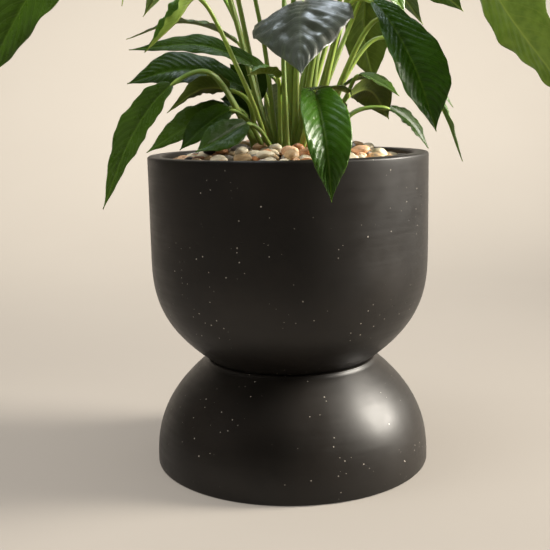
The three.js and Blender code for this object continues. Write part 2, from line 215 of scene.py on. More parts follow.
def turned(outline, steps):
    """Vertices and faces of a closed [radius, height] outline turned about the Z axis.

    An outline that starts and ends on the axis closes there; any other one closes on itself.
    """
    on_axis = outline[0][0] == 0
    ring = outline[1:-1] if on_axis else outline
    vertices = []
    for step in range(steps):
        angle = 2 * math.pi * step / steps
        vertices += [(r * math.cos(angle), r * math.sin(angle), z) for r, z in ring]
    count = len(ring)
    faces = []
    spans = count - 1 if on_axis else count
    for step in range(steps):
        here, there = step * count, (step + 1) % steps * count
        for k in range(spans):
            nxt = (k + 1) % count
            faces.append((here + k, there + k, there + nxt, here + nxt))
    if on_axis:
        first, last = len(vertices), len(vertices) + 1
        vertices += [(0, 0, outline[0][1]), (0, 0, outline[-1][1])]
        for step in range(steps):
            here, there = step * count, (step + 1) % steps * count
            faces.append((first, there, here))
            faces.append((last, here + count - 1, there + count - 1))
    return vertices, faces


def facing_out(vertices, faces):
    """The same faces, turned over if they point in."""
    points = np.array(vertices)
    volume = 0
    for face in faces:
        for k in range(1, len(face) - 1):
            volume += np.dot(points[face[0]], np.cross(points[face[k]], points[face[k + 1]]))
    return faces if volume > 0 else [tuple(reversed(face)) for face in faces]


def bulge(wide, narrow, power, steps):
    """The planter's curve, upright at the wide end and drawing in faster and faster."""
    return [(wide[0] - (wide[0] - narrow[0]) * t ** power, wide[1] + (narrow[1] - wide[1]) * t)
            for t in (i / steps for i in range(steps + 1))]


def quarter_round(centre, radius, start, end, steps=6):
    """Points on an arc from one direction to another, in degrees."""
    angles = [math.radians(start + (end - start) * i / steps) for i in range(steps + 1)]
    return [(centre[0] + radius * math.cos(a), centre[1] + radius * math.sin(a)) for a in angles]


def straight(start, end, steps):
    """Points after the start, up to and including the end."""
    return [tuple(a + (b - a) * i / steps for a, b in zip(start, end)) for i in range(1, steps + 1)]


# ---- Materials ----
FINE_VEINS = 4  # fine veins from one side vein to the next
STALK_STREAKS = 14  # streaks round a stalk


def pot_material():
    """Fibre-clay with a thin black wash: satin, brushed level by level, with pale grains and pits."""
    n = Nodes("black_clay")
    brushed = n.noise(1, 4, .6, n.stretched((9, 9, 210)))
    mottled = n.noise(38, 4, .6)
    cloudy = n.noise(9, 3, .5)
    distance, pick, spare = n.cells(150)
    grain_size = n.math("MULTIPLY_ADD", spare, .08, .06)
    near = n.math("LESS_THAN", distance, grain_size)
    grain = n.math("MULTIPLY", n.math("GREATER_THAN", pick, .5), near)
    grain = n.math("MULTIPLY", grain, n.ramp(n.noise(14, 1), .46, .6))
    distance, pick, _ = n.cells(60, n.stretched((1, 1, 2.2)))
    pit = n.math("MULTIPLY", n.math("GREATER_THAN", pick, .9), n.ramp(distance, .06, .16, 1, 0))
    black, worn, pale = (.0065, .0056, .0048), (.0115, .0094, .0076), (.30, .275, .24)
    ground = n.mix(n.ramp(cloudy, .3, .7), black, worn)
    colour = n.mix(n.math("MULTIPLY", grain, .9), ground, pale)
    height = n.math("MULTIPLY_ADD", brushed, .16, n.math("MULTIPLY", mottled, .5))
    height = n.math("SUBTRACT", height, n.math("MULTIPLY", pit, 1.4))
    brush_marks = n.ramp(brushed, .35, .65, -.022, .022, smooth=False)
    rough = n.math("ADD", brush_marks, n.ramp(mottled, .3, .7, .40, .46))
    return n.finish(Base_Color=colour, Roughness=rough, Specular_IOR_Level=.33,
                    Normal=n.bump(height, .35, .0004))


def leaf_top_material(name, deep, mid, young, gloss, bloom):
    """Glossy upper face: dark between the veins, a little paler along them and on the midrib."""
    n = Nodes(name)
    vein = n.attribute("vein")
    middle = n.attribute("middle")
    mottled = n.noise(60, 4, .6)
    broad = n.noise(14, 2, .5)
    line = n.ramp(n.from_half(vein), .43, .5)
    fine_line = n.ramp(n.from_half(n.math("MULTIPLY", vein, FINE_VEINS)), .3, .5)
    green = n.mix(n.ramp(broad, .3, .7), deep, mid)
    green = n.mix(n.ramp(mottled, .4, .75, 0, .35), green, mid)
    green = n.mix(n.math("MULTIPLY", fine_line, .22), green, young)
    green = n.mix(n.math("MULTIPLY", line, .35), green, young)
    edge = n.ramp(n.attribute("edge"), .965, 1, 0, .55)
    green = n.mix(edge, green, young)
    rib = n.ramp(middle, .5, 1.4, .5, 0)
    green = n.mix(rib, green, young)
    height = n.math("MULTIPLY_ADD", fine_line, -.35, n.math("MULTIPLY", mottled, .3))
    height = n.math("MULTIPLY_ADD", line, -.6, height)
    n.finish(Base_Color=green, Roughness=n.ramp(mottled, .3, .7, .24, .34),
             Normal=n.bump(height, .5, .0005), Specular_IOR_Level=gloss,
             Coat_Weight=bloom, Coat_Roughness=.42, Coat_IOR=1.9)
    glow = (.16, .30, .012)
    return through_light(n, n.mix(.5, glow, green), .22)


def leaf_under_material(name, deep, pale):
    """Duller underside: paler, with the midrib and veins standing out lighter."""
    n = Nodes(name)
    vein = n.attribute("vein")
    middle = n.attribute("middle")
    mottled = n.noise(70, 3, .6)
    line = n.ramp(n.from_half(vein), .40, .5)
    fine = n.from_half(n.math("MULTIPLY", vein, FINE_VEINS))
    vein_green, rib_green, glow = (.22, .30, .05), (.30, .38, .08), (.20, .34, .015)
    green = n.mix(n.ramp(mottled, .3, .7), deep, pale)
    green = n.mix(n.ramp(fine, .3, .5, 0, .2), green, pale)
    green = n.mix(n.math("MULTIPLY", line, .4), green, vein_green)
    green = n.mix(n.ramp(middle, .8, 1.8, .8, 0), green, rib_green)
    height = n.math("MULTIPLY_ADD", line, .8, n.math("MULTIPLY", mottled, .3))
    n.finish(Base_Color=green, Roughness=n.ramp(mottled, .3, .7, .36, .46),
             Normal=n.bump(height, .5, .0005))
    return through_light(n, n.mix(.5, glow, green), .28)


def through_light(n, tint, share):
    """Lets part of the light through the blade, as a real leaf does."""
    glow = n.add("ShaderNodeBsdfTranslucent")
    n.plug(glow.inputs["Color"], tint)
    blend = n.add("ShaderNodeMixShader")
    blend.inputs[0].default_value = share
    n.plug(blend.inputs[1], n.shader.outputs[0])
    n.plug(blend.inputs[2], glow.outputs[0])
    n.plug(n.output.inputs["Surface"], blend.outputs[0])
    return n.material


def stalk_material(name, low, high):
    """Fleshy stalk: ribbed lengthwise, paler at the sheath and at the swollen joint below the blade."""
    n = Nodes(name)
    around = n.attribute("around")
    along = n.attribute("along")
    streaks = n.math("SINE", n.math("MULTIPLY", around, STALK_STREAKS))
    mottled = n.noise(90, 4, .6)
    streak_green, patch_green, joint_green = (.05, .10, .012), (.10, .17, .03), (.30, .40, .09)
    flesh = n.mix(n.ramp(along, -1, -.1), low, high)
    flesh = n.mix(n.ramp(streaks, -.6, 1, 0, .35), flesh, streak_green)
    flesh = n.mix(n.ramp(mottled, .45, .75, 0, .3), flesh, patch_green)
    flesh = n.mix(n.ramp(along, -.16, -.04, 0, .45), flesh, joint_green)
    height = n.math("MULTIPLY_ADD", streaks, .2, n.math("MULTIPLY", mottled, .6))
    return n.finish(Base_Color=flesh, Roughness=n.ramp(mottled, .3, .7, .40, .52),
                    Specular_IOR_Level=.3, Subsurface_Weight=.15, Subsurface_Scale=.002,
                    Normal=n.bump(height, .4, .0003))


STONE_COLOURS = {
    "cream": ((.50, .43, .29), (.66, .60, .46)),
    "tan": ((.33, .21, .10), (.50, .36, .20)),
    "rust": ((.27, .10, .035), (.46, .21, .08)),
    "peach": ((.58, .32, .17), (.72, .48, .30)),
    "grey": ((.20, .18, .15), (.34, .31, .27)),
    "black": ((.010, .009, .010), (.035, .032, .035)),
}
STONE_SHARES = [.27, .22, .17, .13, .14, .07]


def stone_material(name, dark, light):
    """River stone: smooth, faintly speckled, with bands and a dry bloom in the hollows."""
    n = Nodes("stone_" + name)
    bands = n.noise(45, 4, .6, distortion=1.5)
    specks = n.noise(700, 2, .6)
    shade = n.mix(n.ramp(bands, .3, .7), dark, light)
    shade = n.mix(n.ramp(specks, .58, .72, 0, .4), shade, tuple(.5 * c for c in dark))
    shade = n.mix(n.ramp(specks, .30, .42, .3, 0), shade, tuple(min(1, 1.2 * c) for c in light))
    rough = n.ramp(bands, .3, .7, .36, .55)
    height = n.math("MULTIPLY_ADD", specks, .25, bands)
    return n.finish(Base_Color=shade, Roughness=rough, Normal=n.bump(height, .35, .0006))


def grit_material():
    """Dark damp grit that shows between the stones."""
    n = Nodes("dark_grit")
    distance, pick, _ = n.cells(260)
    dark, brown = (.018, .012, .008), (.085, .055, .032)
    shade = n.mix(pick, dark, brown)
    height = n.ramp(distance, 0, .6, 1, 0)
    return n.finish(Base_Color=shade, Roughness=.85, Normal=n.bump(height, .9, .002))


def soil_material():
    """Crumbly dark soil with pale flecks."""
    n = Nodes("potting_soil")
    crumbs = n.noise(140, 8, .7)
    flecks = n.noise(420, 2, .5)
    wet, dry, fleck = (.010, .006, .0035), (.055, .034, .019), (.45, .42, .36)
    shade = n.mix(n.ramp(crumbs, .3, .7), wet, dry)
    shade = n.mix(n.ramp(flecks, .68, .72), shade, fleck)
    return n.finish(Base_Color=shade, Roughness=.92, Normal=n.bump(crumbs, 1, .004))


def crown_material():
    """Upright brown fibres with a little moss."""
    n = Nodes("crown")
    fibres = n.noise(1, 6, .7, n.stretched((260, 260, 40)))
    moss = n.noise(60, 4, .6)
    dark, straw, moss_green = (.030, .019, .010), (.13, .09, .045), (.075, .11, .02)
    shade = n.mix(n.ramp(fibres, .35, .7), dark, straw)
    shade = n.mix(n.ramp(moss, .5, .7, 0, .6), shade, moss_green)
    return n.finish(Base_Color=shade, Roughness=.8, Normal=n.bump(fibres, .8, .002))


def rubber_material():
    """Matt black rubber with a faint bloom."""
    n = Nodes("rubber")
    skin = n.noise(900, 3, .6)
    bloom = n.noise(60, 3, .5)
    black, bloomed = (.012, .012, .012), (.022, .021, .020)
    shade = n.mix(n.ramp(bloom, .3, .7), black, bloomed)
    return n.finish(Base_Color=shade, Roughness=n.ramp(bloom, .3, .7, .62, .78),
                    Normal=n.bump(skin, .4, .0003))


# ---- Planter ----
TURN_STEPS = 144
CLAY_WAVES_ACROSS = 9
CLAY_WAVES_UP = 14
CLAY_WAVE_DEPTH = .0004
CLAY_CALM_RADIUS = .03
CREASE_ANGLE = 50
bowl_inside = BOWL_RADIUS - BOWL_WALL
bowl_floor_top = BOWL_UNDERSIDE + BOWL_FLOOR
bowl_floor_radius = BOWL_FOOT_RADIUS - BOWL_WALL / 2


def hand_made(vertices):
    """Leaves the faint waviness of a hand-finished clay surface, pressing only inward."""
    moved = []
    for x, y, z in vertices:
        radius = math.hypot(x, y)
        spot = Vector((x * CLAY_WAVES_ACROSS, y * CLAY_WAVES_ACROSS, z * CLAY_WAVES_UP))
        wave = noise.noise(spot) - 1
        share = 1 + wave * CLAY_WAVE_DEPTH / max(radius, CLAY_CALM_RADIUS)
        moved.append((x * share, y * share, z))
    return moved


def build_bowl(material):
    outer_foot = (BOWL_FOOT_RADIUS, BOWL_UNDERSIDE + FOOT_CHAMFER)
    outside = bulge((BOWL_RADIUS, BOWL_CURVE_TOP), outer_foot, BOWL_CURVE_POWER, 36)
    inner_foot = (bowl_floor_radius, bowl_floor_top)
    inside = bulge((bowl_inside, BOWL_CURVE_TOP), inner_foot, BOWL_CURVE_POWER, 20)
    rim_centre = RIM - RIM_ROUND
    outer_round = quarter_round((BOWL_RADIUS - RIM_ROUND, rim_centre), RIM_ROUND, 0, 90)
    inner_round = quarter_round((bowl_inside + RIM_ROUND, rim_centre), RIM_ROUND, 90, 180)
    foot = (BOWL_FOOT_RADIUS - FOOT_CHAMFER, BOWL_UNDERSIDE)
    drain = (DRAIN_RADIUS, BOWL_UNDERSIDE)
    outline = [
        drain, *straight(drain, foot, 6), *outside[::-1],
        *straight(outside[0], outer_round[0], 14)[:-1], *outer_round,
        *straight(outer_round[-1], inner_round[0], 3)[:-1], *inner_round,
        *straight(inner_round[-1], inside[0], 10), *inside[1:], (DRAIN_RADIUS, bowl_floor_top),
    ]
    vertices, faces = turned(outline, TURN_STEPS)
    vertices = hand_made(vertices)
    return make_piece("bowl", vertices, facing_out(vertices, faces), [material], ["pot_bowl"])


def build_base(material):
    top_round = BASE_HEIGHT - BASE_EDGE_ROUND
    outside = bulge((BASE_RADIUS, BASE_EDGE_ROUND), (BASE_TOP_RADIUS, top_round), BASE_CURVE_POWER, 44)
    inside = bulge((BASE_RADIUS - BASE_WALL, BASE_WALL),
                   (BASE_TOP_RADIUS - BASE_WALL, BASE_HEIGHT - BASE_WALL), BASE_CURVE_POWER, 20)
    foot = (BASE_RADIUS - BASE_EDGE_ROUND, BASE_EDGE_ROUND)
    shoulder = (BASE_TOP_RADIUS - BASE_EDGE_ROUND, top_round)
    outline = [
        (0, 0), *straight((0, 0), (foot[0], 0), 8),
        *quarter_round(foot, BASE_EDGE_ROUND, -90, 0)[1:-1], *outside,
        *quarter_round(shoulder, BASE_EDGE_ROUND, 15, 90, 5),
        (SEAT_HOLE_RADIUS, BASE_HEIGHT), (SEAT_HOLE_RADIUS, BASE_HEIGHT - BASE_WALL),
        *inside[::-1], (0, BASE_WALL),
    ]
    vertices, faces = turned(outline, TURN_STEPS)
    vertices = hand_made(vertices)
    piece = make_piece("base", vertices, facing_out(vertices, faces), [material], ["pot_base"])
    piece.data.set_sharp_from_angle(angle=math.radians(CREASE_ANGLE))
    return piece


# ---- Gravel and crown ----
def unit_ball(splits):
    """Vertices and faces of a subdivided icosahedron."""
    golden = (1 + math.sqrt(5)) / 2
    points = [(-1, golden, 0), (1, golden, 0), (-1, -golden, 0), (1, -golden, 0),
              (0, -1, golden), (0, 1, golden), (0, -1, -golden), (0, 1, -golden),
              (golden, 0, -1), (golden, 0, 1), (-golden, 0, -1), (-golden, 0, 1)]
    points = [Vector(p).normalized() for p in points]
    faces = [(0, 11, 5), (0, 5, 1), (0, 1, 7), (0, 7, 10), (0, 10, 11), (1, 5, 9), (5, 11, 4),
             (11, 10, 2), (10, 7, 6), (7, 1, 8), (3, 9, 4), (3, 4, 2), (3, 2, 6), (3, 6, 8),
             (3, 8, 9), (4, 9, 5), (2, 4, 11), (6, 2, 10), (8, 6, 7), (9, 8, 1)]
    for _ in range(splits):
        middles = {}
        finer = []

        def middle(a, b):
            key = (min(a, b), max(a, b))
            if key not in middles:
                middles[key] = len(points)
                points.append(((points[a] + points[b]) / 2).normalized())
            return middles[key]

        for a, b, c in faces:
            ab, bc, ca = middle(a, b), middle(b, c), middle(c, a)
            finer += [(a, ab, ca), (b, bc, ab), (c, ca, bc), (ab, bc, ca)]
        faces = finer
    return points, faces


def stone_points(ball, half, seed, turn=0.0, tilt=0.0):
    """A tumbled stone: a lumpy, slightly flattened ellipsoid with one or two duller flats."""
    shift = Vector((seed * 3.7, seed * 1.3, seed * 7.1))
    spin = Matrix.Rotation(turn, 3, "Z") @ Matrix.Rotation(tilt, 3, "X")
    flat = Vector((math.cos(seed * 5.1), math.sin(seed * 5.1), .6)).normalized()
    points = []
    for p in ball:
        size = 1 + .16 * noise.noise(p * 1.1 + shift) + .05 * noise.noise(p * 2.7 + shift)
        size -= .30 * max(0, p.dot(flat) - .62)
        q = p * min(size, 1.1)
        points.append(spin @ Vector((q.x * half[0], q.y * half[1], q.z * half[2])))
    return points


def build_loose_pebbles(materials):
    ball, faces = unit_ball(3)
    colours = ["tan", "cream", "rust", "peach", "grey", "cream", "peach",
               "black", "cream", "tan", "grey", "cream", "rust", "cream"]
    spots = []
    for number, colour in enumerate(colours, 1):
        node = f"pebble_{number:02d}"
        low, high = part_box(node)
        centre = (low + high) / 2
        half = (high - low) / 2
        points = [p + centre for p in stone_points(ball, half, number)]
        make_piece("stone_" + node[-2:], points, faces, [materials[colour]], [node])
        spots.append((centre.x, centre.y, max(half.x, half.y)))
    return spots


BED_TRIES = 5200  # places tried for a stone
UPPER_TRIES = 3600  # tries after which the upper layer starts
UPPER_REACH = .062  # how far the upper layer goes out from the crown
LENGTHS, WIDTHS, HEIGHTS = (.0075, .0125), (.006, .0088), (.0045, .0065)
BED_EDGE_ROOM = .0115
CROWN_OVERLAP = .004
SPACING = (.80, 1.15)
LAYER_HEIGHT = (.0015, .0085)
GRIT_DEPTH = .003
GRIT_LUMPS = 130
GRIT_LUMP_HEIGHT = .0022
MOUND_TOP = .002
MOUND_FALL = .015
STONE_SINK = .002
STONE_TILT = .35
SEED_STEP = .37


def gravel_height(radius):
    """Top of the gravel, a shallow mound against the crown."""
    share = (radius - CROWN_RADIUS) / (BED_RADIUS - CROWN_RADIUS)
    return RIM + MOUND_TOP - MOUND_FALL * max(share, 0) ** 1.5


def build_bed(materials, grit, taken):
    """Loose stones in two rough layers over a dark grit surface, all in one piece."""
    ball, ball_faces = unit_ball(2)
    colours = list(STONE_COLOURS)
    vertices, faces, index = [], [], []

    grit_outline = [(CROWN_RADIUS + GAP, BED_BOTTOM), (BED_RADIUS - GAP, BED_BOTTOM)]
    grit_outline += [(r, gravel_height(r) - GRIT_DEPTH)
                     for r in np.linspace(BED_RADIUS - GAP, CROWN_RADIUS + GAP, 14)]
    ring_vertices, ring_faces = turned(grit_outline, 96)
    ring_faces = facing_out(ring_vertices, ring_faces)
    for x, y, z in ring_vertices:
        lump = GRIT_LUMP_HEIGHT * noise.noise(Vector((x, y, 0)) * GRIT_LUMPS)
        vertices.append((x, y, z + lump if z > BED_BOTTOM + .005 else z))
    faces += ring_faces
    index += [len(colours)] * len(ring_faces)

    placed = list(taken)
    inner, outer = CROWN_RADIUS - CROWN_OVERLAP, BED_RADIUS - BED_EDGE_ROOM
    for tries in range(1, BED_TRIES + 1):
        half = (random.uniform(*LENGTHS), random.uniform(*WIDTHS), random.uniform(*HEIGHTS))
        radius = math.sqrt(random.uniform(inner ** 2, outer ** 2))
        angle = random.uniform(0, 2 * math.pi)
        x, y = radius * math.cos(angle), radius * math.sin(angle)
        reach = (half[0] + half[1]) / 2
        layer = 1 if tries > UPPER_TRIES else 0
        level = [s for s in placed if len(s) < 4 or s[3] == layer]
        if any(math.hypot(x - s[0], y - s[1]) < SPACING[layer] * (reach + s[2]) for s in level):
            continue
        if layer == 1 and radius > CROWN_RADIUS + UPPER_REACH:
            continue
        placed.append((x, y, reach, layer))
        height = gravel_height(radius) + LAYER_HEIGHT[layer] - random.uniform(0, STONE_SINK)
        kind = random.choices(range(len(colours)), STONE_SHARES)[0]
        tilt = random.uniform(-STONE_TILT, STONE_TILT)
        turn = random.uniform(0, math.pi)
        points = stone_points(ball, half, tries * SEED_STEP, turn, tilt)
        start = len(vertices)
        vertices += [(p.x + x, p.y + y, p.z + height) for p in points]
        faces += [tuple(start + k for k in f) for f in ball_faces]
        index += [kind] * len(ball_faces)
    stones = [materials[c] for c in colours] + [grit]
    return make_piece("gravel", vertices, faces, stones, ["pebble_bed"], index)


KNOT_DEPTH, FIBRE_DEPTH = .0022, .0012


def build_crown(material):
    """The knot of old sheaths and roots that the stalks rise from."""
    outline = [(0, CROWN_BOTTOM)]
    outline += straight(outline[0], (CROWN_RADIUS - ROOT_BALL_TAPER, CROWN_BOTTOM), 6)
    outline += straight(outline[-1], (CROWN_RADIUS, RIM - ROOT_BALL_SHOULDER), 16)
    edge = (CROWN_RADIUS - CROWN_EDGE_ROUND, CROWN_TOP - CROWN_EDGE_ROUND)
    outline += straight(outline[-1], (CROWN_RADIUS, edge[1]), 8)
    outline += quarter_round(edge, CROWN_EDGE_ROUND, 0, 90, 4)[1:]
    outline += straight(outline[-1], (0, CROWN_TOP), 14)
    vertices, faces = turned(outline, 96)
    faces = facing_out(vertices, faces)
    lumpy = []
    for v in vertices:
        p = Vector(v)
        inward = Vector((-p.x, -p.y, -(p.z - CROWN_BOTTOM) * .6)).normalized()
        knots, fibres = 1 + noise.noise(p * 70), 1 + noise.noise(p * 190)
        depth = KNOT_DEPTH * knots + FIBRE_DEPTH * fibres
        lumpy.append(tuple(p + inward * depth))
    return make_piece("crown", lumpy, faces, [material], ["root_crown"])


# ---- Leaves ----
def outside(azimuth, distance, height):
    """A point that hangs outside the bowl: direction, distance from its wall, height above the rim."""
    heading = math.radians(azimuth)
    reach = BOWL_RADIUS + distance
    return (reach * math.cos(heading), reach * math.sin(heading), height)


# The CAD node's name after its "leaf_"; root, as a direction in degrees and a share of the crown's
# radius; a point on the stalk and the blade's base, middle and tip, all measured across from the
# pot's axis and up from its rim; the blade's width and the share of its length where it is widest;
# its roll about its own length, the twist from base to tip and the fold of its halves, in degrees.
LEAVES = [
    ("front_hanging", (292, 1), (.03, -.09, .06), (.03, -.125, .07),
     outside(-78, .017, .02), outside(-77, .025, -.042), .058, .42, 0, 0, 30),
    ("front_crinkled", (330, .25), (.015, -.005, .15), (.02, -.048, .172),
     (.015, -.112, .15), (.015, -.165, .087), .116, .4, 10, 0, -14),
    ("front_small", (325, 1), (.06, -.04, .05), (.07, -.05, .07),
     (.04, -.07, .075), (.015, -.085, .07), .026, .4, 0, 0, 10),
    ("front_curled", (250, .6), (-.008, -.03, .055), (-.01, -.05, .089),
     (-.023, -.078, .094), (-.043, -.098, .09), .03, .5, -45, 80, 20),
    ("left_hanging", (215, 1), (-.088, -.08, .095), (-.126, -.095, .082),
     outside(209, .024, .032), outside(204, .06, -.055), .05, .45, -50, 0, 12),
    ("left_twisted", (225, .7), (-.05, -.085, .09), (-.096, -.095, .174),
     (-.119, -.105, .148), (-.153, -.11, .116), .03, .4, -20, 0, 55),
    ("left_low", (198, 1), (-.052, -.028, .05), (-.067, -.036, .055),
     (-.11, -.05, .038), (-.163, -.06, .006), .052, .45, -35, 0, 8),
    ("left_lower", (230, 1), (-.045, -.054, .04), (-.064, -.066, .052),
     (-.092, -.08, .036), (-.12, -.1, .01), .04, .45, -35, 0, 8),
    ("left_lowest", (246, 1), (-.032, -.062, .03), (-.045, -.078, .037),
     (-.07, -.108, .024), (-.099, -.135, .009), .038, .5, -42, 0, 12),
    ("left_olive", (186, .95), (-.045, -.028, .062), (-.067, -.035, .076),
     (-.098, -.045, .078), (-.138, -.055, .051), .044, .4, 30, 0, 10),
    ("left_arched", (172, .7), (-.03, 0, .055), (-.045, -.005, .075),
     (-.12, -.02, .1), (-.185, -.04, .085), .058, .5, -42, 0, 8),
    ("left_dark", (156, 1), (-.038, .014, .018), (-.039, .011, .036),
     (-.058, .004, .058), (-.079, -.008, .066), .044, .5, -50, 0, 8),
    ("left_long", (235, .35), (0, -.018, .06), (-.014, -.027, .088),
     (-.092, -.05, .125), (-.178, -.06, .122), .034, .45, -30, -20, 8),
    ("left_level", (115, .6), (-.03, .04, .08), (-.06, .045, .135),
     (-.125, .04, .16), (-.195, .03, .14), .034, .4, -5, 0, 10),
    ("right_glossy", (335, .75), (.075, -.04, .17), (.097, -.06, .169),
     (.137, -.105, .1), (.161, -.12, .026), .07, .56, 25, 0, 24),
    ("right_behind", (355, .7), (.11, 0, .155), (.135, -.005, .13),
     (.185, 0, .055), outside(3, .045, -.015), .044, .5, 20, 0, 10),
    ("right_narrow", (30, .7), (.11, .05, .135), (.145, .06, .13),
     (.18, .06, .09), (.21, .055, .05), .04, .4, 20, 0, 10),
    ("right_backlit", (52, .7), (.08, .08, .15), (.102, .084, .195),
     (.102, .096, .14), (.114, .098, .085), .07, .5, 0, 0, 6),
    ("right_arched", (2, 1), (.085, .02, .048), (.126, .03, .05),
     (.153, .038, .033), outside(13, .012, 0), .038, .5, 35, 0, 8),
    ("right_under", (34, 1), (.06, .028, .045), (.079, .035, .068),
     (.105, .05, .073), (.13, .065, .037), .05, .5, -45, 0, 6),
    ("right_striped", (17, 1), (.06, .015, .06), (.07, .012, .08),
     (.1, -.004, .088), (.125, -.01, .08), .026, .45, 10, 0, 10),
    ("right_small", (346, 1), (.07, -.02, .065), (.085, -.02, .09),
     (.11, -.03, .08), (.13, -.045, .065), .028, .4, 10, 0, 10),
    ("right_light", (50, .45), (.08, .03, .215), (.105, .02, .25),
     (.118, .005, .205), (.142, -.005, .158), .048, .5, 20, 0, 8),
    ("right_top", (15, .5), (.075, .02, .25), (.125, .025, .25),
     (.172, .04, .207), (.219, .045, .166), .062, .5, -30, 0, 8),
    ("right_spreading", (340, .45), (.12, -.02, .27), (.175, -.06, .258),
     (.245, -.105, .142), (.315, -.125, .045), .092, .42, -50, 0, 12),
    ("left_spreading", (212, .5), (-.11, -.022, .275), (-.195, -.045, .28),
     (-.272, -.09, .19), (-.34, -.1, .075), .088, .4, -50, 0, 10),
    ("left_top", (160, .5), (-.1, .02, .32), (-.14, .03, .33),
     (-.18, .035, .255), (-.2, .038, .18), .056, .4, 0, 0, 8),
    ("inner_left", (135, .45), (-.029, .02, .042), (-.038, .024, .059),
     (-.05, .027, .086), (-.069, .03, .108), .054, .45, -80, 0, 10),
    ("tall_front", (268, .9), (-.003, -.04, .1), (-.002, -.015, .25),
     (-.02, -.08, .33), (-.045, -.15, .31), .078, .4, 0, 0, 8),
    ("tall_left", (190, .3), (-.03, .005, .155), (-.065, .015, .28),
     (-.12, .025, .35), (-.185, .03, .345), .08, .4, 0, 0, 8),
    ("tall_middle", (0, .03), (.01, .005, .18), (.02, .01, .3),
     (.025, .025, .38), (.04, .06, .42), .074, .4, 0, 0, 8),
    ("tall_right", (315, .4), (.045, -.02, .17), (.075, -.05, .275),
     (.1, -.11, .33), (.125, -.175, .31), .08, .4, 0, 0, 8),
    ("tall_spreading", (60, .3), (.045, .024, .18), (.09, .025, .32),
     (.16, .03, .36), (.23, .03, .32), .08, .4, 0, 0, 8),
    ("back_tall", (95, .35), (0, .045, .17), (-.015, .09, .27),
     (-.03, .155, .33), (-.04, .225, .31), .08, .4, 0, 0, 8),
    ("back_right", (55, .95), (.06, .108, .112), (.095, .145, .2),
     (.145, .185, .215), (.195, .22, .165), .07, .4, 0, 0, 8),
    ("back_middle", (75, .6), (.03, .06, .14), (.045, .11, .225),
     (.055, .175, .235), (.06, .235, .185), .072, .4, 0, 0, 8),
    ("back_left", (135, .85), (-.05, .06, .13), (-.095, .1, .215),
     (-.145, .145, .23), (-.195, .18, .18), .07, .4, 0, 0, 8),
    ("back_drooping", (93, 1), (-.002, .075, .075), (-.002, .115, .085),
     outside(91, .015, .045), outside(90, .04, -.03), .056, .4, 0, 0, 6),
    ("back_low_left", (115, 1), (-.035, .07, .055), (-.05, .095, .065),
     (-.08, .13, .05), (-.105, .16, .015), .046, .4, 0, 0, 8),
    ("back_low_right", (76, 1), (.025, .075, .06), (.038, .1, .07),
     (.06, .135, .055), (.08, .168, .018), .046, .4, 0, 0, 8),
]

# A green: the upper face's deep, middle and young colours, its gloss and its bloom; the underside's
# deep and pale colours; and the kind of stalk that goes with it.
GREENS = {
    # The next green is the deep one made darker and less glossy: painted shade for the lower and inner
    # leaves that lie under the canopy.
    "dark": ((.010, .026, .002), (.024, .055, .004), (.06, .12, .010), .18, 0,
             (.030, .055, .007), (.06, .10, .014), "deep"),
    "deep": ((.022, .050, .004), (.046, .095, .008), (.10, .18, .018), .5, 0,
             (.045, .085, .012), (.09, .15, .025), "deep"),
    "bright": ((.018, .058, .003), (.040, .115, .007), (.13, .24, .02), .42, 0,
               (.06, .12, .015), (.11, .19, .03), "young"),
    # The next green's upper colours are greyed to paint in a grey-blue sheen, the reflection of the light
    # above; its underside keeps plain green.
    "painted_sheen": ((.030, .040, .027), (.056, .068, .050), (.09, .11, .07), .6, 1,
             (.05, .10, .014), (.09, .17, .03), "young"),
    "olive": ((.030, .060, .005), (.065, .105, .010), (.13, .19, .02), .5, 0,
              (.08, .115, .016), (.14, .19, .03), "young"),
    "young": ((.030, .080, .006), (.065, .15, .012), (.16, .26, .025), .5, 0,
              (.12, .19, .025), (.20, .29, .045), "young"),
}

# How a leaf differs from the plain one: its green, how deep its quilting is, how wavy its margin is,
# how crumpled it is, how many side veins it has and how deep the hollows beside its midrib are.
# Leaves given the "dark" green carry painted shade in their colour, for the canopy's shade over them.
LEAF_LOOKS = {
    "front_hanging": {"green": "bright", "quilt": .0034, "wave": .0008, "veins": 13},
    # This leaf's greyed upper face is painted sheen.
    "front_crinkled": {"green": "painted_sheen", "quilt": .0030, "wave": .0020, "crumple": .0014, "veins": 12,
                       "hollow": .0045},
    "front_small": {"quilt": .0010},
    "front_curled": {"green": "young", "quilt": .0020, "veins": 10},
    "inner_left": {"green": "dark"},
    "left_hanging": {"quilt": .0022, "wave": .0014},
    "left_twisted": {"green": "young", "quilt": .0006, "wave": .0020},
    "left_long": {"green": "dark", "wave": .0012},
    "left_level": {"green": "olive", "wave": .0022},
    "left_low": {"quilt": .0014},
    "left_lower": {"green": "dark"},
    "left_lowest": {"green": "dark", "quilt": .0020},
    "left_dark": {"green": "dark"},
    "left_olive": {"green": "olive"},
    "left_arched": {"green": "dark", "quilt": .0022},
    "right_glossy": {"green": "bright", "quilt": .0038, "wave": .0014, "veins": 16},
    "right_spreading": {"green": "young", "quilt": .0020, "wave": .0030},
    "left_spreading": {"quilt": .0016, "wave": .0030},
    "right_backlit": {"green": "olive"},
    "right_under": {"green": "olive"},
    "right_light": {"green": "young"},
    "right_narrow": {"green": "bright"},
    "right_behind": {"green": "bright"},
    "right_arched": {"green": "dark"},
}
PLAIN_LEAF = {"green": "deep", "quilt": .0012, "wave": .0010, "crumple": .0005, "veins": 15,
              "hollow": 0}


